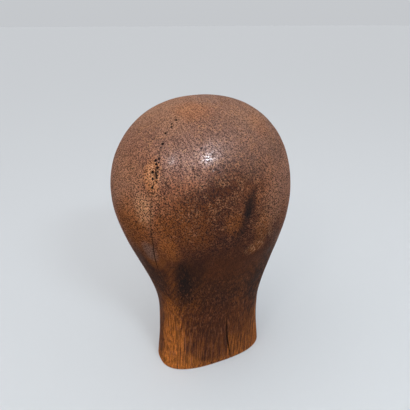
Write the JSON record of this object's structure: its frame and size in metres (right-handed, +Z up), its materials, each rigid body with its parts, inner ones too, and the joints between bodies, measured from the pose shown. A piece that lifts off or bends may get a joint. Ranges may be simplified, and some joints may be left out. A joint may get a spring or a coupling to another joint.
{
  "type": "hat block",
  "caption": "Solid wooden hat block: a domed oval head on a waisted neck with a flat oblong foot, for shaping, pinning and resting hats.",
  "frame": {"origin": "on the surface that the foot stands on, under the middle of the head's bounding box", "axes": "+Z up, +Y along the head's length with the more overhanging, pin-worn end at -Y, +X across the head's width"},
  "size_m": [0.1536, 0.1924, 0.31],
  "materials": {
    "left_wood": "old handled patina, orange-brown, satin",
    "right_wood": "old handled patina, red-brown with dark stains, satin"
  },
  "bodies": {
    "root": {"left_half": "left_wood", "right_half": "right_wood"}
  },
  "joints": []
}
